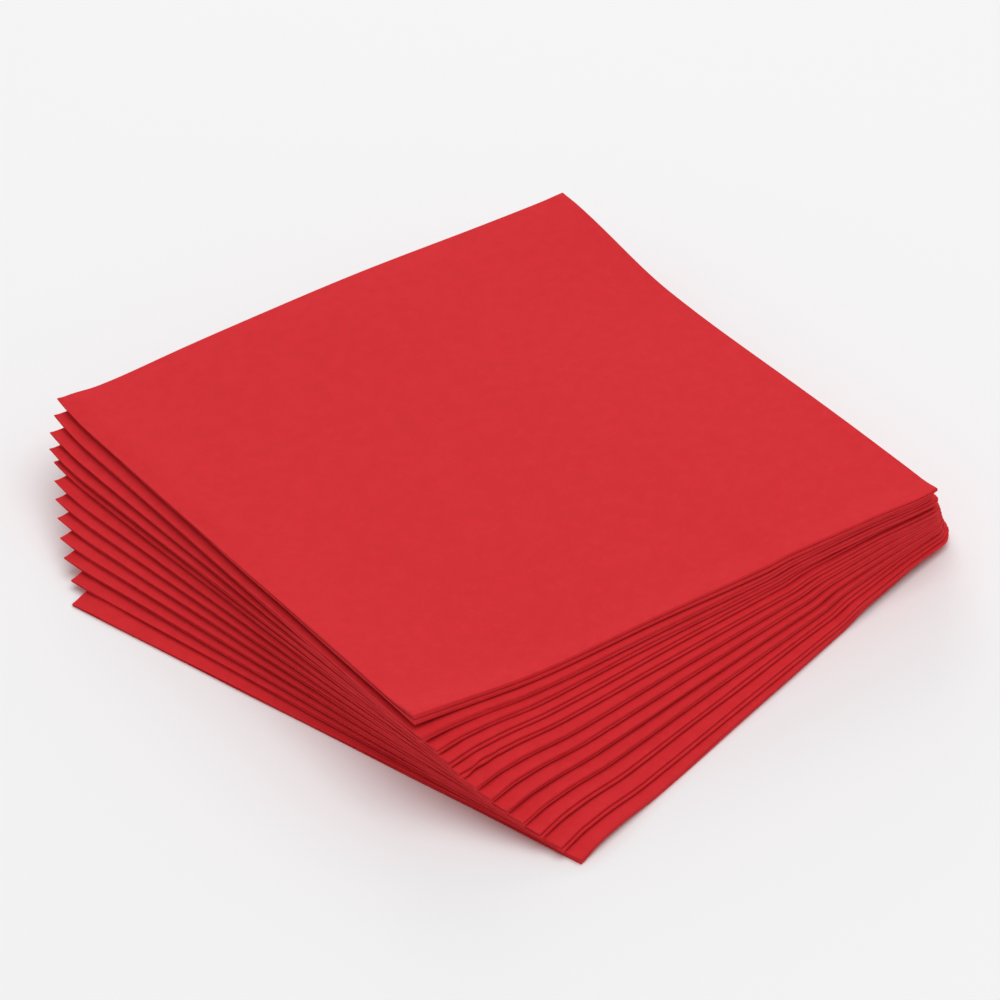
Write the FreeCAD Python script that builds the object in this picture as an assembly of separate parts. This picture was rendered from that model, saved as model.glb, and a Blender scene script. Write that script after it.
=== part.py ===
"""A stack of paper napkins, each one folded in four, fanned about a point near the closed corner.

Frame: millimetres, +Z up. The origin is the middle of the bottom napkin's underside, whose sides lie
along X and Y. Its closed corner, where both folds meet, is at +X -Y, and its front corner at -X -Y.

A napkin in its own frame has its closed corner at the origin and runs to -X and +Y:
- the first fold is the edge along X, and joins two layers below and two layers above;
- the second fold is the edge along Y, and wraps the lower pair of layers round to the upper pair;
- the raw edges are the two sides that meet at the corner opposite the closed one.
"""

import FreeCAD, Part
import math
import os

from FreeCAD import Placement, Rotation, Vector

SIZES = (
    # name, value, what it is
    ("napkin_side", 200.0, "side of a folded napkin, half the side of the sheet"),
    ("paper_thickness", 0.4, "one layer of paper"),
    ("crease_gap", 0.1, "air between two layers of one napkin"),
    ("napkin_count", 12, "napkins in the stack"),
    ("fan_turn", 16.4, "degrees from the bottom napkin to the top one"),
    ("fan_bow", 2.9, "degrees that the lower half of the fan is opened more than the upper half"),
    ("pivot_from_second_fold", 15.0, "fan centre, in from the second fold"),
    ("pivot_from_first_fold", 61.0, "fan centre, in from the first fold"),
    ("closed_air", 0.55, "air under a napkin at its closed corner"),
    ("front_air", 0.65, "air under a napkin at its front corner, before the front lift"),
    ("back_air", 0.45, "air under a napkin at its back corner"),
    ("closed_lift", 0.6, "extra height of the unweighted top napkin at its closed corner"),
    ("back_lift", 1.2, "extra height of the top napkin at its back corner"),
    ("front_lift", 3.2, "extra height of the top napkin at its front corner"),
    ("front_lift_reach", 45.0, "length of the part of a napkin that turns up towards its front corner"),
    ("wave_height", 1.1, "height of the top napkin's wave over the middle of the stack"),
)

# The weight above presses the lower napkins flat, so the lift falls off by this power of the level.
LIFT_POWER = 8

# From the second fold to the front lift, a napkin is drawn in this many equal straight spans.
SETTLED_SPANS = 3

HALF_TURN = 180.0


def make_sheet(document):
    """Put every size in the spreadsheet, one row each, and return the sheet."""
    sheet = document.addObject("Spreadsheet::Sheet", "Sizes")
    for row, (name, value, meaning) in enumerate(SIZES, start=1):
        sheet.set(f"A{row}", name)
        sheet.set(f"B{row}", str(value))
        sheet.set(f"C{row}", meaning)
        sheet.setAlias(f"B{row}", name)
    document.recompute()
    return sheet


class Napkin:
    """One folded sheet at one level of the stack, 0.0 for the bottom and 1.0 for the top."""

    def __init__(self, sheet, level):
        self.sheet = sheet
        self.level = level
        self.side = sheet.napkin_side
        self.paper = sheet.paper_thickness
        self.gap = sheet.crease_gap
        self.pair = 2 * self.paper + self.gap
        self.thickness = 2 * self.pair + self.gap
        self.fold_radius = self.thickness / 2
        self.levels_above_bottom = (int(sheet.napkin_count) - 1) * level

    def rise(self, air, lift):
        """Height of the underside over the bottom napkin's, for the air and lift at one corner."""
        settled = self.levels_above_bottom * (self.thickness + air)
        return settled + lift * self.level ** LIFT_POWER

    def stations(self):
        """Return (x, height over the first fold, height over the far raw edge) along the napkin."""
        sheet = self.sheet
        closed = self.rise(sheet.closed_air, sheet.closed_lift)
        back = self.rise(sheet.back_air, sheet.back_lift)
        climb = self.rise(sheet.front_air, 0) - self.rise(sheet.closed_air, 0)
        crest = sheet.wave_height * self.level
        front_lift = sheet.front_lift * self.level ** LIFT_POWER
        span = (self.side - sheet.front_lift_reach) / SETTLED_SPANS

        def station(distance, wave=0.0, lift=0.0):
            ramp = climb * distance / self.side + wave
            return (-distance, closed + ramp + lift, back + ramp)

        return [
            station(self.side, lift=front_lift),
            station(SETTLED_SPANS * span),
            station((SETTLED_SPANS - 1) * span, wave=crest),
            station(span, wave=crest),
            station(self.fold_radius),
        ]

    def station_placement(self, station):
        """Stand a section across the napkin: at x, lifted over the first fold and tilted to the far edge."""
        x, near, far = station
        tilt = math.degrees(math.atan2(far - near, self.side))
        return Placement(Vector(x, 0, near), Rotation(Vector(1, 0, 0), tilt))

    def pair_section(self, station, upper):
        """Section of two layers joined by the first fold, for the lower or the upper pair."""
        outer = self.pair / 2

        def point(y, z):
            return Vector(0, y, self.thickness - z if upper else z)

        low_end = point(self.side, 0)
        low_fold = point(outer, 0)
        high_fold = point(outer, self.pair)
        high_end = point(self.side, self.pair)
        high_cut = point(self.side, self.pair - self.paper)
        high_crease = point(outer, self.pair - self.paper)
        low_crease = point(outer, self.paper)
        low_cut = point(self.side, self.paper)
        pieces = [
            Part.LineSegment(low_end, low_fold),
            Part.Arc(low_fold, point(0, outer), high_fold),
            Part.LineSegment(high_fold, high_end),
            Part.LineSegment(high_end, high_cut),
            Part.LineSegment(high_cut, high_crease),
            Part.LineSegment(high_crease, low_crease),
            Part.LineSegment(low_crease, low_cut),
            Part.LineSegment(low_cut, low_end),
        ]
        wire = Part.Wire([piece.toShape() for piece in pieces])
        wire.Placement = self.station_placement(station)
        return wire

    def pair_of_layers(self, upper):
        """Carry the section from the open side to the second fold, straight from station to station."""
        sections = [self.pair_section(station, upper) for station in self.stations()]
        return Part.makeLoft(sections, True, True)

    def second_fold(self):
        """Turn both layers of the lower pair over into the upper pair, one bend inside the other."""
        place = self.station_placement(self.stations()[-1])
        axis_point = place.multVec(Vector(0, 0, self.fold_radius))
        axis_direction = place.Rotation.multVec(Vector(0, -1, 0))
        first_fold_end = self.pair / 2
        bends = []
        for low in (0, self.paper + self.gap):
            high = low + self.paper
            corners = [
                Vector(0, first_fold_end, low),
                Vector(0, self.side, low),
                Vector(0, self.side, high),
                Vector(0, first_fold_end, high),
            ]
            layer = Part.Face(Part.makePolygon(corners + corners[:1]))
            layer.Placement = place
            bends.append(layer.revolve(axis_point, axis_direction, HALF_TURN))
        return bends

    def shape(self):
        """The whole sheet, in the napkin's own frame."""
        lower = self.pair_of_layers(upper=False)
        upper = self.pair_of_layers(upper=True)
        whole = lower.fuse(self.second_fold() + [upper])
        return whole.removeSplitter().Solids[0]

    def placement(self):
        """Set the closed corner over the bottom napkin's and turn the napkin about the fan centre."""
        sheet = self.sheet
        closed_corner = Vector(self.side / 2, -self.side / 2, 0)
        centre = closed_corner + Vector(-sheet.pivot_from_second_fold, sheet.pivot_from_first_fold, 0)
        turn = -self.level * (sheet.fan_turn + sheet.fan_bow * (1 - self.level))
        turned = Placement(Vector(0, 0, 0), Rotation(Vector(0, 0, 1), turn), centre)
        return turned.multiply(Placement(closed_corner, Rotation()))


def add_napkin(document, sheet, number):
    """Make one napkin of the stack as an object of the document. Number 1 lies at the bottom."""
    count = int(sheet.napkin_count)
    level = (number - 1) / max(count - 1, 1)
    napkin = Napkin(sheet, level)
    name = f"napkin_{number:02d}"
    piece = document.addObject("Part::Feature", name)
    piece.Label = name
    piece.Shape = napkin.shape()
    piece.Placement = napkin.placement()
    return piece


def check(document, pieces):
    """Stop if any object failed or any piece is not one sound solid."""
    for item in document.Objects:
        if "Invalid" in item.State or "Error" in item.State:
            raise RuntimeError(f"{item.Label} did not compute: {item.State}")
    for piece in pieces:
        shape = piece.Shape
        if shape.isNull() or not shape.isValid() or len(shape.Solids) != 1:
            raise RuntimeError(f"{piece.Label} is not one valid solid")


def main():
    document = FreeCAD.newDocument("NapkinStack")
    sheet = make_sheet(document)
    count = int(sheet.napkin_count)
    pieces = [add_napkin(document, sheet, number) for number in range(1, count + 1)]
    document.recompute()
    check(document, pieces)
    os.makedirs("parts", exist_ok=True)
    for piece in pieces:
        piece.Shape.exportStep(f"parts/{piece.Label}.step")
        print(f"{piece.Label}: {piece.Shape.Volume / 1000:.1f} cm3, top {piece.Shape.BoundBox.ZMax:.1f} mm")


main()
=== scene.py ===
"""A stack of twelve red paper napkins, each one folded in four, fanned about a point near its closed corner.

Every napkin is one sheet of soft tissue paper, 400 mm square. It is folded in half, and then in half
again, so it has four layers, two folded sides and two raw sides. The sheet is folded flat first, in its
own frame, and then draped into its place in the stack.

A place on a folded napkin is given by two distances: along, from the second fold to the raw end, and
across, from the first fold to the raw side. Its four corners are:
- closed, where both folds meet;
- front, the raw end of the first fold;
- back, the raw side's end of the second fold;
- raw, where both raw sides meet.

The level of a napkin is its height in the stack, 0 for the bottom one and 1 for the top one. The weight
above presses the lower napkins flat, so a loose form of the top napkin fades by a power of the level.
"""

import logging
import math
from dataclasses import dataclass, field

import bmesh
import bpy
import numpy as np
from mathutils import Matrix, Vector

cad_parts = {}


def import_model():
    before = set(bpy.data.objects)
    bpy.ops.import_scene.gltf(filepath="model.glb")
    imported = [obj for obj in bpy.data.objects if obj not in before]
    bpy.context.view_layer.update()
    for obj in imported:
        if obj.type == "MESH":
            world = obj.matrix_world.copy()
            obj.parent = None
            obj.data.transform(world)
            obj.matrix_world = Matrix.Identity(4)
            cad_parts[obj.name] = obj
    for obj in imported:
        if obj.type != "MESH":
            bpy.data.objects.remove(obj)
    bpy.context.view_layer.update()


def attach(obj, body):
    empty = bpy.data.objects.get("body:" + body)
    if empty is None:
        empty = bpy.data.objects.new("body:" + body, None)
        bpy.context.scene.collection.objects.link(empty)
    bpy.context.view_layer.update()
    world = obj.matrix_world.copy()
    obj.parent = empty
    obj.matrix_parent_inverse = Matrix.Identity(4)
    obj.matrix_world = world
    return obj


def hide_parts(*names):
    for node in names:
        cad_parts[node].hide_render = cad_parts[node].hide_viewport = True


MM = 0.001
HALF_TURN = 180.0
NEARLY_NOTHING = 1e-9
BODY = "root"

# An sRGB channel is a straight line up to the toe and a power curve above it.
SRGB_STEPS = 255
SRGB_TOE = 0.04045
SRGB_TOE_SLOPE = 12.92
SRGB_OFFSET = 0.055
SRGB_POWER = 2.4

# A ripple is this many waves, whose lengths lie between these shares of the middle one.
RIPPLE_WAVES = 5
RIPPLE_SPREAD = (0.7, 1.5)

# Points of the flat sheet that are closer than this, in mm, are the same point.
MERGE_DISTANCE = 0.001

# Sockets of a node that mixes two colours, by number, because several of them share a name.
MIX_SHARE = 0
MIX_FIRST = 6
MIX_SECOND = 7
MIX_RESULT = 2

log = logging.getLogger("napkins")


def linear(value: str) -> tuple[float, float, float, float]:
    """Turn an sRGB hex colour into the linear colour that a shader takes.

    Args:
        value: Six hex digits, with or without a hash.

    Returns:
        Red, green, blue and alpha, each from 0 to 1.
    """
    digits = value.lstrip("#")
    channels = [int(digits[start : start + 2], 16) / SRGB_STEPS for start in (0, 2, 4)]
    red, green, blue = (
        c / SRGB_TOE_SLOPE if c <= SRGB_TOE else ((c + SRGB_OFFSET) / (1.0 + SRGB_OFFSET)) ** SRGB_POWER
        for c in channels
    )
    return (red, green, blue, 1.0)


def add_node(
    tree: bpy.types.NodeTree, kind: str, settings: dict | None = None, links: dict | None = None
) -> bpy.types.Node:
    """Add a node to a tree, set it up and link its inputs.

    Args:
        tree: The node tree of a material or of the world.
        kind: The node's type name.
        settings: Values by property name, or by input name or number.
        links: Output sockets by the name or number of the input that each one feeds.

    Returns:
        The new node.
    """
    node = tree.nodes.new(kind)
    for name, value in (settings or {}).items():
        if isinstance(name, str) and hasattr(node, name):
            setattr(node, name, value)
        else:
            node.inputs[name].default_value = value
    for name, socket in (links or {}).items():
        tree.links.new(socket, node.inputs[name])
    return node


def smooth_step(value: np.ndarray, low: float | np.ndarray, high: float | np.ndarray) -> np.ndarray:
    """Rise smoothly from 0 at low to 1 at high.

    Args:
        value: Where to read the step.
        low: The value below which the step is 0.
        high: The value above which the step is 1.

    Returns:
        The height of the step at each value.
    """
    share = np.clip((value - low) / (high - low), 0.0, 1.0)
    return share * share * (3.0 - 2.0 * share)


def bump(value: np.ndarray, centre: float, reach: float) -> np.ndarray:
    """Read a smooth hump that is 1 at its centre and fades to both sides.

    Args:
        value: Where to read the hump.
        centre: The value at the top of the hump.
        reach: The distance at which the hump has fallen to about a third.

    Returns:
        The height of the hump at each value.
    """
    return np.exp(-(((value - centre) / reach) ** 2))


def ripple(along: np.ndarray, across: np.ndarray, wavelength: float, seed: int) -> np.ndarray:
    """Read a soft irregular ripple, made of a few sine waves that run in different directions.

    Args:
        along: Distances from the second fold, in mm.
        across: Distances from the first fold, in mm.
        wavelength: The middle wavelength, in mm.
        seed: Picks the directions and phases of the waves.

    Returns:
        Heights from about -1 to 1.
    """
    draw = np.random.default_rng(seed)
    total = np.zeros_like(along)
    for _ in range(RIPPLE_WAVES):
        direction = draw.uniform(0.0, math.tau)
        phase = draw.uniform(0.0, math.tau)
        length = wavelength * draw.uniform(*RIPPLE_SPREAD)
        travel = along * math.cos(direction) + across * math.sin(direction)
        total += np.sin(math.tau * travel / length + phase)
    return total / math.sqrt(2.0 * RIPPLE_WAVES)


def squaring(out: np.ndarray, up: np.ndarray, power: float) -> np.ndarray:
    """Find the factor that carries a point of a round bend to a squarer one, as pressed paper has.

    Args:
        out: How far out of the bend's centre the point is.
        up: How far over or under that centre it is.
        power: 2 leaves the bend round, and more makes it squarer.

    Returns:
        The factor for both distances.
    """
    radius = np.maximum(np.hypot(out, up), NEARLY_NOTHING)
    share = np.abs(out / radius) ** power + np.abs(up / radius) ** power
    share = np.maximum(share, NEARLY_NOTHING)
    return share ** (-1.0 / power)


@dataclass
class Sheet:
    """One sheet of tissue paper, folded in four and still flat. Lengths are in mm."""

    side: float = 200.0
    paper: float = 0.40
    crease_gap: float = 0.10
    steps_per_side: int = 64
    steps_at_edge: int = 10
    edge_reach: float = 16.0
    fold_steps: int = 6
    fold_squareness: float = 5.0

    @property
    def pitch(self) -> float:
        """Distance from one layer to the next."""
        return self.paper + self.crease_gap

    @property
    def pair(self) -> float:
        """Thickness of two layers."""
        return 2.0 * self.paper + self.crease_gap

    @property
    def thickness(self) -> float:
        """Thickness of the four layers."""
        return 2.0 * self.pair + self.crease_gap

    def straight(self, bm: bmesh.types.BMesh, geometry: list, direction: Vector) -> list:
        """Extrude geometry along one side of the napkin, with short steps near both of its ends.

        Args:
            bm: The mesh.
            geometry: The vertices and edges to extrude.
            direction: The way to go, of length 1.

        Returns:
            The vertices and edges at the far end.
        """
        middle = self.side - 2.0 * self.edge_reach
        runs = (
            (self.edge_reach, self.steps_at_edge),
            (middle, self.steps_per_side - 2 * self.steps_at_edge),
            (self.edge_reach, self.steps_at_edge),
        )
        for length, steps in runs:
            step = direction * (length / steps)
            run = bmesh.ops.spin(bm, geom=geometry, axis=(0, 0, 1), angle=0.0, dvec=step, steps=steps)
            geometry = run["geom_last"]
        return geometry

    def turn(self, bm: bmesh.types.BMesh, geometry: list, centre: Vector, axis: Vector) -> list:
        """Fold geometry over by half a turn.

        Args:
            bm: The mesh.
            geometry: The vertices and edges to turn.
            centre: A point on the fold's axis.
            axis: The direction of the fold's axis.

        Returns:
            The vertices and edges at the far end.
        """
        fold = bmesh.ops.spin(bm, geom=geometry, cent=centre, axis=axis, angle=math.pi, steps=self.fold_steps)
        return fold["geom_last"]

    def folded(self) -> bmesh.types.BMesh:
        """Fold the sheet twice.

        Returns:
            The mesh in the napkin's own frame: the closed corner at the origin, the first fold along -X and
            the second along +Y, and the underside of the lowest layer at z = 0 once it has its thickness.
        """
        lowest = self.paper / 2
        bm = bmesh.new()
        start = bmesh.ops.create_vert(bm, co=(-self.side, self.side, lowest))["vert"]
        near = self.straight(bm, start, Vector((0, -1, 0)))
        bend = self.turn(bm, near, Vector((0, 0, self.pair / 2)), Vector((-1, 0, 0)))
        self.straight(bm, bend, Vector((0, 1, 0)))
        profile = bm.verts[:] + bm.edges[:]
        near = self.straight(bm, profile, Vector((1, 0, 0)))
        bend = self.turn(bm, near, Vector((0, 0, self.thickness / 2)), Vector((0, -1, 0)))
        self.straight(bm, bend, Vector((-1, 0, 0)))
        bmesh.ops.remove_doubles(bm, verts=bm.verts, dist=MERGE_DISTANCE)
        return bm

    def pressed(self, points: np.ndarray) -> np.ndarray:
        """Press the round bends of both folds squarer, so that the rolls lie face to face.

        Args:
            points: Points of the folded sheet with its thickness.

        Returns:
            The same points with their bends pressed.
        """
        out = np.maximum(points[:, 0], 0.0)
        up = points[:, 2] - self.thickness / 2
        radius = np.hypot(out, up)
        roll_centre = (self.thickness - self.pair) / 2
        roll_out = np.minimum(points[:, 1], 0.0)
        roll_up = radius - roll_centre
        in_roll = squaring(roll_out, roll_up, self.fold_squareness)
        moved = points.copy()
        moved[:, 1] += roll_out * (in_roll - 1.0)
        scale = (roll_centre + roll_up * in_roll) / radius
        in_bend = squaring(out, up, self.fold_squareness)
        moved[:, 0] += out * (scale * in_bend - 1.0)
        moved[:, 2] += up * (scale * in_bend - 1.0)
        return moved

    def turned_share(self, points: np.ndarray) -> np.ndarray:
        """Share of the second fold's half turn at each point: 0 in the lower pair and 1 in the upper one."""
        return np.arctan2(np.maximum(points[:, 0], 0.0), self.thickness / 2 - points[:, 2]) / math.pi

    def lofted(self, height: np.ndarray, loft: np.ndarray, seam: np.ndarray) -> np.ndarray:
        """Stretch heights in the flat napkin to the napkin's real thickness.

        Args:
            height: Heights over the underside of the flat napkin.
            loft: The napkin's real thickness at each place.
            seam: The real gap between its two pairs of layers.

        Returns:
            Heights over the underside of the real napkin.
        """
        pair = (loft - seam) / 2.0
        lower = np.clip(height / self.pair, 0.0, 1.0)
        middle = np.clip((height - self.pair) / self.crease_gap, 0.0, 1.0)
        upper = np.clip((height - self.pair - self.crease_gap) / self.pair, 0.0, 1.0)
        return pair * (lower + upper) + seam * middle


@dataclass(frozen=True)
class Form:
    """A smooth rise or hollow of a napkin: its height, and its middle and reach both ways, in mm.

    The near reach is for a form that runs out further towards the first fold.
    """

    height: float
    along: float
    along_reach: float
    across: float
    across_reach: float
    near_reach: float | None = None

    def share_across(self, across: np.ndarray) -> np.ndarray:
        """Read the form's share across the napkin.

        Args:
            across: Distances from the first fold, in mm.

        Returns:
            The share of the full height at each distance.
        """
        near = self.near_reach or self.across_reach
        reach = np.where(across < self.across, near, self.across_reach)
        return np.exp(-(((across - self.across) / reach) ** 2))

    def share(self, along: np.ndarray, across: np.ndarray) -> np.ndarray:
        """Share of the full height at each place."""
        return bump(along, self.along, self.along_reach) * self.share_across(across)

    def read(self, along: np.ndarray, across: np.ndarray) -> np.ndarray:
        """Height of the form at each place."""
        return self.height * self.share(along, across)


@dataclass(frozen=True)
class Wave:
    """The wave along the first fold: an arch near the closed corner that ends in a ridge, and a tail.

    The ridge lies further from the second fold in the higher napkins, and away from the first fold.
    """

    crest: float = 1.75
    crest_lost_on_top: float = 0.4
    loss_power: float = 4.0
    rise_end: float = 30.0
    ridge: float = 51.0
    ridge_by_level: float = 6.0
    ridge_by_across: float = 0.10
    ridge_width: float = 11.0
    ridge_drop: float = 0.80
    tail_start: float = 95.0
    tail_end: float = 165.0
    reach: float = 62.0

    def read(self, along: np.ndarray, across: np.ndarray, level: float) -> np.ndarray:
        """Read the height of the wave.

        Args:
            along: Distances from the second fold, in mm.
            across: Distances from the first fold, in mm.
            level: The napkin's level in the stack.

        Returns:
            Heights in mm.
        """
        ridge = self.ridge + self.ridge_by_level * level + self.ridge_by_across * across
        drop = self.ridge_drop * smooth_step(along, ridge, ridge + self.ridge_width)
        arch = smooth_step(along, 0.0, self.rise_end) * (1.0 - drop)
        tail = 1.0 - smooth_step(along, self.tail_start, self.tail_end)
        crest = self.crest * (1.0 - self.crest_lost_on_top * level**self.loss_power)
        return crest * arch * tail * bump(across, 0.0, self.reach)


@dataclass(frozen=True)
class Droop:
    """The front corner's droop: the first fold rises before its end and then falls to it."""

    height: float = 1.5
    rise_start: float = 160.0
    rise_end: float = 182.0
    fall_start: float = 189.0
    fall_end: float = 201.0
    reach: float = 30.0
    loss_power: float = 6.0

    def read(self, along: np.ndarray, across: np.ndarray, level: float) -> np.ndarray:
        """Read the height of the rise, which the top napkin doesn't have.

        Args:
            along: Distances from the second fold, in mm.
            across: Distances from the first fold, in mm.
            level: The napkin's level in the stack.

        Returns:
            Heights in mm.
        """
        rise = smooth_step(along, self.rise_start, self.rise_end)
        fall = 1.0 - smooth_step(along, self.fall_start, self.fall_end)
        return self.height * rise * fall * (1.0 - level**self.loss_power) * bump(across, 0.0, self.reach)


@dataclass(frozen=True)
class Drape:
    """How the napkins lie on each other. Lengths and heights are in mm."""

    side: float
    flat: float
    gaps: int
    closed_pitch: float = 2.45
    front_pitch: float = 2.55
    back_pitch: float = 2.35
    closed_lift: float = 0.6
    back_lift: float = 1.2
    front_lift: float = 3.2
    front_lift_reach: float = 48.0
    front_lift_power: float = 1.6
    front_lift_fade: float = 1.3
    closed_tip_lift: float = 1.1
    closed_tip_reach: float = 8.0
    closed_tip_power: float = 1.5
    raw_tip_lift: float = 2.3
    raw_tip_curl: float = 4.9
    raw_tip_reach: float = 16.0
    raw_tip_power: float = 1.7
    settled_level: float = 0.09
    lift_power: float = 8.0
    loose_power: float = 16.0
    wave: Wave = Wave()
    droop: Droop = Droop()
    front_dip: Form = Form(-0.95, along=152.0, along_reach=24.0, across=0.0, across_reach=62.0)
    hollow: Form = Form(-3.8, along=0.0, along_reach=46.0, across=138.0, across_reach=40.0, near_reach=78.0)
    back_rise: Form = Form(1.5, along=92.0, along_reach=46.0, across=200.0, across_reach=55.0)
    back_sag: Form = Form(-1.0, along=182.0, along_reach=22.0, across=200.0, across_reach=55.0)
    closed_pinch: Form = Form(0.9, along=0.0, along_reach=48.0, across=0.0, across_reach=16.0)
    beak: Form = Form(0.7, along=0.0, along_reach=7.0, across=0.0, across_reach=7.0)
    front_puff: Form = Form(1.3, along=200.0, along_reach=38.0, across=0.0, across_reach=9.0)
    front_dip_power: float = 3.0
    front_puff_power: float = 4.0
    front_puff_loose: float = 0.75
    hollow_bow: float = 1.7
    ripple_height: float = 0.12
    ripple_length: float = 55.0
    ripple_seed: int = 3
    fold_puff: float = 0.21
    fold_reach: float = 5.0
    loose_fold_puff: float = 0.35
    hollow_press: float = 0.12
    end_puff: float = 0.16
    end_puff_reach: float = 9.0
    end_taper: float = 0.36
    end_droop: float = 0.32
    end_reach: float = 4.5
    taper_start: float = 45.0
    taper_full: float = 120.0
    side_press: float = 0.20
    press_reach: float = 5.0
    tip_press: float = 0.35
    tip_press_reach: float = 7.0
    bottom_radius: float = 11.0
    top_radius: float = 0.5
    radius_power: float = 1.5

    def flat_rise(self, along: np.ndarray, across: np.ndarray, level: float) -> np.ndarray:
        """Find the height of a napkin's underside from the air that is under each of its corners.

        Args:
            along: Distances from the second fold, in mm.
            across: Distances from the first fold, in mm.
            level: The napkin's level in the stack.

        Returns:
            Heights in mm.
        """
        loose = level**self.lift_power
        closed = self.gaps * self.closed_pitch * level + self.closed_lift * loose
        climb = self.gaps * (self.front_pitch - self.closed_pitch) * level
        back = self.gaps * self.back_pitch * level + self.back_lift * loose
        return closed + climb * along / self.side + (back - closed) * across / self.side

    def front_curl(self, along: np.ndarray, across: np.ndarray, level: float) -> np.ndarray:
        """Find how far the front corner turns up, most in the top napkin.

        Args:
            along: Distances from the second fold, in mm.
            across: Distances from the first fold, in mm.
            level: The napkin's level in the stack.

        Returns:
            Heights in mm.
        """
        reach = (along - self.side + self.front_lift_reach) / self.front_lift_reach
        rise = np.clip(reach, 0.0, 1.0) ** self.front_lift_power
        fade = np.clip(1.0 - across / self.side, 0.0, 1.0) ** self.front_lift_fade
        return self.front_lift * level**self.lift_power * rise * fade

    def tips(self, along: np.ndarray, across: np.ndarray, level: float) -> np.ndarray:
        """Find the height of the small curls at the raw corner and the closed corner.

        The raw corner curls most in the upper half of the stack, the closed one in the top napkin.

        Args:
            along: Distances from the second fold, in mm.
            across: Distances from the first fold, in mm.
            level: The napkin's level in the stack.

        Returns:
            Heights in mm.
        """
        from_raw = np.hypot(self.side - along, self.side - across)
        raw_curl = self.raw_tip_lift * level + self.raw_tip_curl * level * (1.0 - level)
        near_raw = np.clip(1.0 - from_raw / self.raw_tip_reach, 0.0, 1.0)
        from_closed = np.hypot(along, across)
        closed_curl = self.closed_tip_lift * level**self.lift_power
        near_closed = np.clip(1.0 - from_closed / self.closed_tip_reach, 0.0, 1.0)
        return raw_curl * near_raw**self.raw_tip_power + closed_curl * near_closed**self.closed_tip_power

    def slack_end(self, along: np.ndarray, across: np.ndarray) -> np.ndarray:
        """Share of the sag and thinning of the cut end, away from the first fold that holds it up."""
        return bump(along, self.side, self.end_reach) * smooth_step(across, self.taper_start, self.taper_full)

    def height(self, along: np.ndarray, across: np.ndarray, level: float) -> np.ndarray:
        """Height of a napkin's underside over the table.

        Args:
            along: Distances from the second fold, in mm.
            across: Distances from the first fold, in mm.
            level: The napkin's level in the stack.

        Returns:
            Heights in mm.
        """
        total = self.flat_rise(along, across, level)
        total += self.front_curl(along, across, level)
        total += self.tips(along, across, level)
        total += self.wave.read(along, across, level)
        total += self.droop.read(along, across, level)
        total += self.front_dip.read(along, across) * level**self.front_dip_power
        total += self.closed_pinch.read(along, across) * level**self.loose_power
        for form in (self.hollow, self.back_rise, self.back_sag):
            total += form.read(along, across) * level
        total -= self.end_droop * self.slack_end(along, across) * smooth_step(level, 0.0, self.settled_level)
        unevenness = ripple(along, across, self.ripple_length, self.ripple_seed)
        total += self.ripple_height * np.maximum(1.0 + unevenness, 0.0)
        return total

    def loft(self, along: np.ndarray, across: np.ndarray, level: float) -> np.ndarray:
        """Thickness of a napkin: puffed at its folds and cut end, and pressed in the hollow and at its tip.

        Args:
            along: Distances from the second fold, in mm.
            across: Distances from the first fold, in mm.
            level: The napkin's level in the stack.

        Returns:
            The thickness at each place, in mm.
        """
        loose = level**self.loose_power
        in_hollow = self.hollow.share(along, across)
        first_fold = bump(across, 0.0, self.fold_reach)
        second_fold = bump(along, 0.0, self.fold_reach) * (1.0 - in_hollow)
        cut_end = bump(along, self.side, self.end_puff_reach)
        puff = np.maximum(self.fold_puff * np.maximum(first_fold, second_fold), self.end_puff * cut_end)
        slack_end = self.slack_end(along, across)
        side = self.side_press * bump(across, self.side, self.press_reach)
        from_raw = np.hypot(self.side - along, self.side - across)
        tip = self.tip_press * bump(from_raw, 0.0, self.tip_press_reach)
        loft = self.flat * (1.0 + puff * (1.0 - slack_end)) * (1.0 - self.end_taper * slack_end)
        loft *= (1.0 - side) * (1.0 - tip)
        loft *= 1.0 - self.hollow_press * in_hollow
        pinch = self.closed_pinch.read(along, across) + self.beak.read(along, across)
        loft += loose * (self.loose_fold_puff * first_fold - pinch)
        in_top = self.front_puff_loose * loose
        below_top = (1.0 - self.front_puff_loose) * level**self.front_puff_power
        return loft + self.front_puff.read(along, across) * (in_top + below_top)

    def inward_bow(self, along: np.ndarray, across: np.ndarray, level: float) -> np.ndarray:
        """Distance that the second fold is drawn in by at the hollow beside it."""
        return self.hollow_bow * level * self.hollow.share_across(across) * (1.0 - along / self.side)

    def rounding(self, along: np.ndarray, across: np.ndarray, level: float) -> tuple[np.ndarray, np.ndarray]:
        """Find the inward moves that round the closed corner, most at the bottom of the stack.

        Args:
            along: Distances from the second fold, in mm.
            across: Distances from the first fold, in mm.
            level: The napkin's level in the stack.

        Returns:
            The moves along and across, in mm.
        """
        radius = self.top_radius + (self.bottom_radius - self.top_radius) * (1.0 - level) ** self.radius_power
        out = np.clip(1.0 - along / radius, 0.0, 1.0)
        down = np.clip(1.0 - across / radius, 0.0, 1.0)
        round_out = out * np.sqrt(1.0 - down**2 / 2.0)
        round_down = down * np.sqrt(1.0 - out**2 / 2.0)
        return radius * (out - round_out), radius * (down - round_down)


@dataclass(frozen=True)
class Lie:
    """How one napkin lies off the even fan.

    It is turned further by some degrees and slid away from its two folds by some mm. The roll step is how
    far its lower roll stands out past its upper one, the tuck how far the closed end of its first fold is
    drawn in, and the crinkle how far its front corner is creased.
    """

    turn: float = 0.0
    along: float = 0.0
    across: float = 0.0
    roll_step: float = 0.0
    tuck: float = 0.0
    crinkle: float = 0.0


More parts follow.
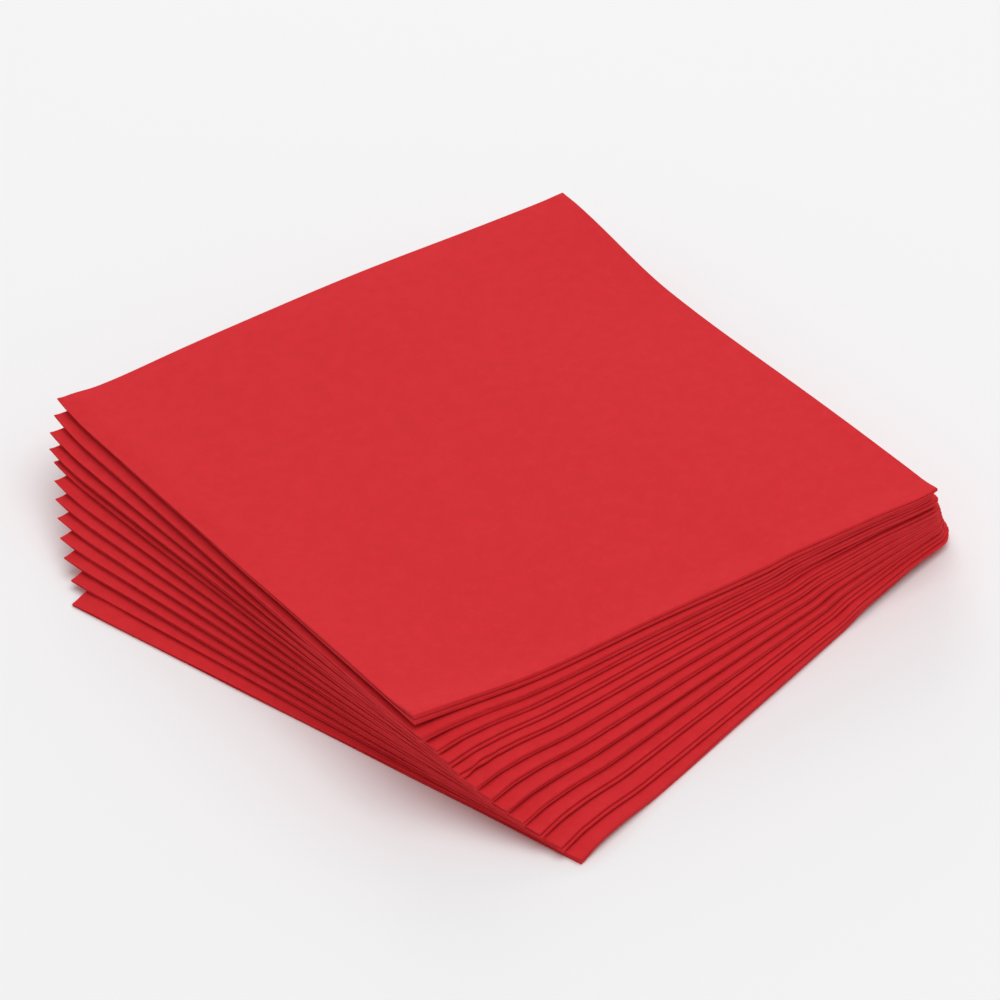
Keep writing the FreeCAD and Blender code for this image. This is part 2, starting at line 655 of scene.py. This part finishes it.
@dataclass
class Napkin:
    """One folded napkin at its place in the stack. Angles are in degrees and lengths in mm."""

    number: int
    count: int
    sheet: Sheet
    drape: Drape
    lie: Lie
    fan_turn: float = 16.4
    fan_bow: float = 2.9
    pivot_along: float = 15.0
    pivot_across: float = 61.0
    slide_across: float = 5.2
    roll_drift: float = 0.16
    roll_reach: float = 14.0
    roll_ripple_length: float = 45.0
    roll_ripple_shift: float = 40.0
    roll_seed: int = 100
    tuck_reach: float = 75.0
    seam: float = 0.03
    seam_by_step: float = 0.14
    seam_reach: float = 7.0
    cut_stagger: tuple[float, ...] = (0.3, 0.15, 0.2, 0.0)
    cut_drift: float = 0.12
    cut_power: float = 6.0
    cut_ripple_length: float = 50.0
    cut_ripple_shift: float = 60.0
    cut_seed: int = 200
    splay: float = 0.11
    splay_reach: float = 30.0
    splay_ripple_length: float = 60.0
    splay_seed: int = 300
    crinkle_length: float = 8.0
    crinkle_reach: float = 34.0
    crinkle_shift: float = 3.0
    sharp_angle: float = 50.0

    @property
    def name(self) -> str:
        """Name of the finished piece."""
        return f"folded_napkin_{self.number:02d}"

    @property
    def node(self) -> str:
        """Name of the solid that the piece stands for."""
        return f"napkin_{self.number:02d}"

    @property
    def level(self) -> float:
        """Level in the stack, 0 for the bottom napkin and 1 for the top one."""
        return (self.number - 1) / (self.count - 1)

    def in_the_fan(self) -> Matrix:
        """Find the place of the napkin's own frame in the stack.

        Returns:
            The turn and slide that carry the napkin there, in mm.
        """
        half = self.sheet.side / 2
        bow = self.level * (1.0 - self.level)
        turn = -math.radians(self.level * self.fan_turn + self.fan_bow * bow + self.lie.turn)
        slide = Vector((-self.lie.along, self.lie.across + self.slide_across * bow, 0.0))
        corner = Vector((half, -half, 0.0))
        centre = corner + Vector((-self.pivot_along, self.pivot_across, 0.0))
        turned = Matrix.Translation(centre) @ Matrix.Rotation(turn, 4, "Z") @ Matrix.Translation(-centre)
        return turned @ Matrix.Translation(corner + slide)

    def roll_offset(self, share: np.ndarray, along: np.ndarray, across: np.ndarray) -> np.ndarray:
        """Find how far each roll of the first fold stands back from its line.

        Args:
            share: Share of the second fold's half turn, 0 in the lower pair and 1 in the upper one.
            along: Distances from the second fold, in mm.
            across: Distances from the first fold, in mm.

        Returns:
            Distances towards the raw side, in mm. They are negative where a roll stands out.
        """
        seed = self.roll_seed + self.number
        shift = np.full_like(along, self.roll_ripple_shift)
        lower = ripple(along, np.zeros_like(along), self.roll_ripple_length, seed)
        upper = ripple(along, shift, self.roll_ripple_length, seed)
        drift = self.roll_drift * ((1.0 - share) * lower + share * upper)
        step = (share - 0.5) * self.lie.roll_step
        crease = np.sin(math.tau * (along + share * self.crinkle_shift) / self.crinkle_length)
        front = smooth_step(along, self.sheet.side - self.crinkle_reach, self.sheet.side)
        tuck = self.lie.tuck * bump(along, 0.0, self.tuck_reach)
        return (step + drift + tuck + self.lie.crinkle * crease * front) * bump(across, 0.0, self.roll_reach)

    def cut_offset(self, height: np.ndarray, along: np.ndarray, across: np.ndarray) -> np.ndarray:
        """Find how far each layer's cut end stands back, as the outer layers go further round the fold.

        Args:
            height: Heights in the flat sheet, in mm.
            along: Distances from the second fold, in mm.
            across: Distances from the first fold, in mm.

        Returns:
            Distances towards the second fold, in mm.
        """
        layer = np.clip(height // self.sheet.pitch, 0, len(self.cut_stagger) - 1).astype(int)
        seed = self.cut_seed + self.number
        unevenness = ripple(across, layer * self.cut_ripple_shift, self.cut_ripple_length, seed)
        back = np.array(self.cut_stagger)[layer] + self.cut_drift * (1.0 + unevenness)
        return back * (along / self.sheet.side) ** self.cut_power

    def opening(self, share: np.ndarray, along: np.ndarray, across: np.ndarray) -> np.ndarray:
        """Find how far the upper pair stands off the lower one near the cut end.

        Args:
            share: Share of the second fold's half turn, 0 in the lower pair and 1 in the upper one.
            along: Distances from the second fold, in mm.
            across: Distances from the first fold, in mm.

        Returns:
            Heights in mm.
        """
        unevenness = ripple(across, along, self.splay_ripple_length, self.splay_seed + self.number)
        opening = self.splay * (1.0 + unevenness)
        return share * opening * smooth_step(along, self.sheet.side - self.splay_reach, self.sheet.side)

    def draped(self, points: np.ndarray) -> np.ndarray:
        """Move the points of the flat folded sheet into the stack.

        Args:
            points: Points in the napkin's own frame, in mm.

        Returns:
            The points in the frame of the stack, in metres.
        """
        sheet, drape = self.sheet, self.drape
        along = np.clip(-points[:, 0], 0.0, sheet.side)
        across = np.clip(points[:, 1], 0.0, sheet.side)
        share = sheet.turned_share(points)
        flat = sheet.pressed(points)
        loft = drape.loft(along, across, self.level)
        closed_seam = self.seam + self.seam_by_step * abs(self.lie.roll_step)
        seam = sheet.crease_gap + (closed_seam - sheet.crease_gap) * bump(across, 0.0, self.seam_reach)
        round_along, round_across = drape.rounding(along, across, self.level)
        moved = flat.copy()
        moved[:, 0] -= drape.inward_bow(along, across, self.level) + round_along
        moved[:, 0] += self.cut_offset(points[:, 2], along, across)
        moved[:, 1] += self.roll_offset(share, along, across) + round_across
        moved[:, 2] = drape.height(along, across, self.level)
        moved[:, 2] += sheet.lofted(flat[:, 2], loft, seam) + self.opening(share, along, across)
        place = np.array(self.in_the_fan())
        return (moved @ place[:3, :3].T + place[:3, 3]) * MM

    def build(self) -> bpy.types.Object:
        """Fold, thicken and drape the sheet.

        Returns:
            The finished piece, with its object at the origin.
        """
        bm = self.sheet.folded()
        bmesh.ops.recalc_face_normals(bm, faces=bm.faces)
        mesh = bpy.data.meshes.new(self.name)
        bm.to_mesh(mesh)
        bm.free()
        return self.finish(mesh)

    def finish(self, mesh: bpy.types.Mesh) -> bpy.types.Object:
        """Give the folded mesh its thickness and its place.

        Args:
            mesh: The folded sheet, flat and without thickness.

        Returns:
            The finished piece.
        """
        piece = bpy.data.objects.new(self.name, mesh)
        bpy.context.scene.collection.objects.link(piece)
        solidify = piece.modifiers.new("thickness", "SOLIDIFY")
        solidify.thickness = self.sheet.paper
        solidify.offset = 0.0
        thick = bpy.data.meshes.new_from_object(piece.evaluated_get(bpy.context.evaluated_depsgraph_get()))
        piece.modifiers.remove(solidify)
        piece.data = thick
        thick.name = self.name
        points = np.empty(len(thick.vertices) * 3)
        thick.vertices.foreach_get("co", points)
        thick.vertices.foreach_set("co", self.draped(points.reshape(-1, 3)).ravel())
        thick.set_sharp_from_angle(angle=math.radians(self.sharp_angle))
        thick.update()
        return piece


@dataclass(frozen=True)
class Grain:
    """A noise pattern: the size of its marks in mm, its finer layers, their strength and its bend."""

    size: float
    detail: float
    roughness: float
    bend: float = 0.0


@dataclass(frozen=True)
class TissuePaper:
    """Soft dyed tissue, laid from short fibres and lightly pressed by the felt.

    It is matt, with a faint mottle where the fibres lie thicker, a few single fibres that show lighter,
    and light that bleeds a little way through each thin layer. Sizes are in mm. The fibres are drawn wider
    than real ones, which are too fine to show.
    """

    name: str = "dyed_tissue_paper"
    dye: str = "#D9282F"
    thin: str = "#D3242B"
    fibre: str = "#E33C43"
    mottle: Grain = Grain(size=4.0, detail=4.0, roughness=0.6)
    mottle_range: tuple[float, float] = (0.35, 0.65)
    felt: Grain = Grain(size=0.8, detail=3.0, roughness=0.65)
    fibres: Grain = Grain(size=3.2, detail=2.0, roughness=0.5, bend=2.6)
    fibre_middle: float = 0.5
    fibre_width: float = 0.012
    fibre_share: float = 0.30
    fibre_relief: float = 0.35
    bump_height: float = 0.05
    bump_strength: float = 0.5
    roughness: float = 0.92
    specular: float = 0.3
    bleed_share: float = 0.3
    bleed_depth: float = 0.6
    bleed_by_colour: tuple[float, float, float] = (1.0, 0.16, 0.16)

    def noise(
        self, tree: bpy.types.NodeTree, place: bpy.types.NodeSocket, grain: Grain
    ) -> bpy.types.NodeSocket:
        """Add a noise pattern of a real size.

        Args:
            tree: The material's node tree.
            place: The Object coordinates.
            grain: The pattern.

        Returns:
            The height of the pattern, from 0 to 1.
        """
        settings = {
            "Scale": 1.0 / (grain.size * MM),
            "Detail": grain.detail,
            "Roughness": grain.roughness,
            "Distortion": grain.bend,
        }
        return add_node(tree, "ShaderNodeTexNoise", settings, {"Vector": place}).outputs["Fac"]

    def single_fibres(self, tree: bpy.types.NodeTree, place: bpy.types.NodeSocket) -> bpy.types.NodeSocket:
        """Draw thin curly lines where a bent noise crosses its middle.

        Args:
            tree: The material's node tree.
            place: The Object coordinates.

        Returns:
            1 on a fibre and 0 beside it.
        """
        height = self.noise(tree, place, self.fibres)
        centred = {"operation": "SUBTRACT", 1: self.fibre_middle}
        middle = add_node(tree, "ShaderNodeMath", centred, {0: height})
        away = add_node(tree, "ShaderNodeMath", {"operation": "ABSOLUTE"}, {0: middle.outputs[0]})
        line = {"From Min": 0.0, "From Max": self.fibre_width, "To Min": 1.0, "To Max": 0.0}
        return add_node(tree, "ShaderNodeMapRange", line, {"Value": away.outputs[0]}).outputs["Result"]

    def material(self) -> bpy.types.Material:
        """Make the material.

        Returns:
            A material that reads Object coordinates.
        """
        material = bpy.data.materials.new(self.name)
        material.use_nodes = True
        tree = material.node_tree
        tree.nodes.clear()
        place = add_node(tree, "ShaderNodeTexCoord").outputs["Object"]
        mottle = self.noise(tree, place, self.mottle)
        felt = self.noise(tree, place, self.felt)
        fibres = self.single_fibres(tree, place)
        low, high = self.mottle_range
        tone = add_node(tree, "ShaderNodeMapRange", {"From Min": low, "From Max": high}, {"Value": mottle})
        dyes = {"data_type": "RGBA", MIX_FIRST: linear(self.thin), MIX_SECOND: linear(self.dye)}
        colour = add_node(tree, "ShaderNodeMix", dyes, {MIX_SHARE: tone.outputs["Result"]})
        weak = {"operation": "MULTIPLY", 1: self.fibre_share}
        fibre_share = add_node(tree, "ShaderNodeMath", weak, {0: fibres})
        lighter = {"data_type": "RGBA", MIX_SECOND: linear(self.fibre)}
        colours = {MIX_SHARE: fibre_share.outputs[0], MIX_FIRST: colour.outputs[MIX_RESULT]}
        base = add_node(tree, "ShaderNodeMix", lighter, colours)
        raised = {"operation": "MULTIPLY_ADD", 1: self.fibre_relief}
        relief = add_node(tree, "ShaderNodeMath", raised, {0: fibres, 2: felt})
        depth = {"Strength": self.bump_strength, "Distance": self.bump_height * MM}
        normal = add_node(tree, "ShaderNodeBump", depth, {"Height": relief.outputs[0]})
        finish = {
            "Roughness": self.roughness,
            "Specular IOR Level": self.specular,
            "Subsurface Weight": self.bleed_share,
            "Subsurface Radius": self.bleed_by_colour,
            "Subsurface Scale": self.bleed_depth * MM,
        }
        shader_links = {"Base Color": base.outputs[MIX_RESULT], "Normal": normal.outputs["Normal"]}
        surface = add_node(tree, "ShaderNodeBsdfPrincipled", finish, shader_links)
        add_node(tree, "ShaderNodeOutputMaterial", None, {"Surface": surface.outputs["BSDF"]})
        return material


@dataclass
class NapkinStack:
    """The whole stack, with the napkins that lie off the even fan by their number from the bottom."""

    count: int = 12
    lies: dict[int, Lie] = field(
        default_factory=lambda: {
            1: Lie(turn=-0.6, along=0.8, across=0.8),
            2: Lie(across=-1.2, roll_step=0.7),
            3: Lie(roll_step=0.7),
            5: Lie(roll_step=-0.25),
            8: Lie(turn=0.2, roll_step=0.45, crinkle=0.28),
            9: Lie(turn=-0.5, along=0.6, across=1.6, roll_step=0.55),
            10: Lie(turn=-0.5, along=0.6, across=1.6, roll_step=0.2, tuck=-1.6),
            11: Lie(turn=0.3, along=1.4, across=-1.0, tuck=1.6),
            12: Lie(roll_step=0.3, tuck=-0.3),
        }
    )
    sheet: Sheet = field(default_factory=Sheet)
    paper: TissuePaper = field(default_factory=TissuePaper)

    def build(self) -> list[bpy.types.Object]:
        """Make every napkin and dress it.

        Returns:
            The napkins, from the bottom one up.
        """
        drape = Drape(side=self.sheet.side, flat=self.sheet.thickness, gaps=self.count - 1)
        material = self.paper.material()
        pieces: list[bpy.types.Object] = []
        for number in range(1, self.count + 1):
            napkin = Napkin(number, self.count, self.sheet, drape, self.lies.get(number, Lie()))
            piece = napkin.build()
            piece.data.materials.append(material)
            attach(piece, BODY)
            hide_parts(napkin.node)
            log.info("%s: %d faces", piece.name, len(piece.data.polygons))
            pieces.append(piece)
        return pieces


@dataclass(frozen=True)
class Softbox:
    """A square soft lamp that looks at the object.

    Its heading is in degrees to the right of the far side of the object, as the camera sees it. Its share
    is what it adds to the light on the floor, where 1 in all makes a colour render as it is written.
    """

    name: str
    heading: float
    elevation: float
    distance: float
    size: float
    share: float

    @property
    def power(self) -> float:
        """Power in watts that gives the share on the floor. A wide lamp needs more, as its rim is far off."""
        reach = self.distance**2 + self.size**2 / 3.0
        return self.share * math.pi**2 * reach / math.sin(math.radians(self.elevation))


@dataclass
class Studio:
    """A pale floor, soft lamps and the camera. Lengths are in metres and angles in degrees."""

    target: tuple[float, float, float] = (0.0235, 0.0261, 0.0)
    heading: float = 38.1
    elevation: float = 38.36
    distance: float = 1.931
    lens: float = 216.0
    sensor: float = 36.0
    far_clip: float = 20.0
    floor_size: float = 8.0
    floor_colour: str = "#FAFAFB"
    floor_roughness: float = 0.9
    floor_specular: float = 0.1
    world_share: float = 0.45
    lamps: tuple[Softbox, ...] = (
        Softbox("overhead_softbox", heading=140.0, elevation=81.0, distance=2.4, size=2.2, share=0.42),
        Softbox("low_back_softbox", heading=-10.0, elevation=24.0, distance=2.4, size=1.2, share=0.08),
    )

    def build(self) -> None:
        """Make the floor, the world, the lamps and the camera."""
        self.floor()
        self.world()
        for softbox in self.lamps:
            self.lamp(softbox)
        self.camera()

    def away(self, heading: float, elevation: float, distance: float) -> Vector:
        """Find a place round the target.

        Args:
            heading: Degrees to the right of the far side, as the camera sees it.
            elevation: Degrees up from the floor.
            distance: Distance from the target, in metres.

        Returns:
            The place, in metres.
        """
        turn = math.radians(self.heading - heading)
        rise = math.radians(elevation)
        flat = distance * math.cos(rise)
        offset = Vector((flat * math.cos(turn), flat * math.sin(turn), distance * math.sin(rise)))
        return Vector(self.target) + offset

    def aim(self, thing: bpy.types.Object, place: Vector) -> None:
        """Put a lamp or the camera in its place and turn it to the target.

        Args:
            thing: The lamp or camera.
            place: Its place, in metres.
        """
        bpy.context.scene.collection.objects.link(thing)
        thing.location = place
        thing.rotation_euler = (Vector(self.target) - place).to_track_quat("-Z", "Y").to_euler()

    def floor(self) -> None:
        """Make the floor, which isn't part of the object."""
        bm = bmesh.new()
        bmesh.ops.create_grid(bm, x_segments=1, y_segments=1, size=self.floor_size / 2)
        mesh = bpy.data.meshes.new("floor")
        bm.to_mesh(mesh)
        bm.free()
        floor = bpy.data.objects.new("floor", mesh)
        bpy.context.scene.collection.objects.link(floor)
        # Matt white paint, which hardly shines and so shows the shadow and nothing else.
        material = bpy.data.materials.new("painted_table")
        material.use_nodes = True
        shader = material.node_tree.nodes["Principled BSDF"]
        shader.inputs["Base Color"].default_value = linear(self.floor_colour)
        shader.inputs["Roughness"].default_value = self.floor_roughness
        shader.inputs["Specular IOR Level"].default_value = self.floor_specular
        mesh.materials.append(material)

    def world(self) -> None:
        """Light everything softly from all round."""
        world = bpy.data.worlds.new("studio")
        bpy.context.scene.world = world
        world.use_nodes = True
        background = world.node_tree.nodes["Background"]
        background.inputs["Color"].default_value = (1.0, 1.0, 1.0, 1.0)
        background.inputs["Strength"].default_value = self.world_share

    def lamp(self, softbox: Softbox) -> None:
        """Hang one softbox.

        Args:
            softbox: Its place, size and light.
        """
        data = bpy.data.lights.new(softbox.name, "AREA")
        data.size = softbox.size
        data.energy = softbox.power
        lamp = bpy.data.objects.new(softbox.name, data)
        self.aim(lamp, self.away(softbox.heading, softbox.elevation, softbox.distance))

    def camera(self) -> None:
        """Set the camera at the photograph's angle."""
        data = bpy.data.cameras.new("camera")
        data.lens = self.lens
        data.sensor_width = self.sensor
        data.clip_end = self.far_clip
        camera = bpy.data.objects.new("camera", data)
        self.aim(camera, self.away(HALF_TURN, self.elevation, self.distance))
        bpy.context.scene.camera = camera


def main() -> None:
    """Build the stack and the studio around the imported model, and report each piece."""
    logging.basicConfig(level=logging.INFO, format="%(name)s: %(message)s")
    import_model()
    bpy.context.scene.view_settings.view_transform = "Standard"
    NapkinStack().build()
    Studio().build()


if __name__ == "__main__":
    main()
